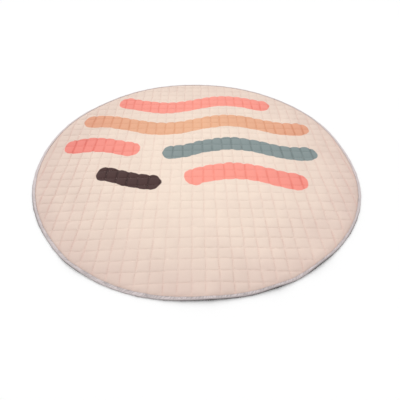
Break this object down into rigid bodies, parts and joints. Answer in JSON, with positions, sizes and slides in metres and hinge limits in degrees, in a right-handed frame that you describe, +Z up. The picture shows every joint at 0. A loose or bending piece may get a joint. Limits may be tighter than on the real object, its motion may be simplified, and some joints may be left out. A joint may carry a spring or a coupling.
{
  "type": "baby play mat",
  "caption": "Round cotton play mat, quilted in a square grid over a thin filling, with a folded edge binding, lying flat on the floor.",
  "frame": {"origin": "middle of the mat's outline, on the floor under the backing", "axes": "+Z up out of the printed side, +X along the quilting rows, +Y across them, away from the viewer"},
  "size_m": [1.3946, 1.3938, 0.0112],
  "materials": {
    "quilted_cotton": "plain-woven cotton, matt, cream with a blush cast and broad printed stripes",
    "binding_cotton": "folded cotton strip, matt, lavender grey, finely puckered by its stitching"
  },
  "bodies": {
    "root": {"quilted_pad": "quilted_cotton", "edge_binding": "binding_cotton"}
  },
  "joints": []
}
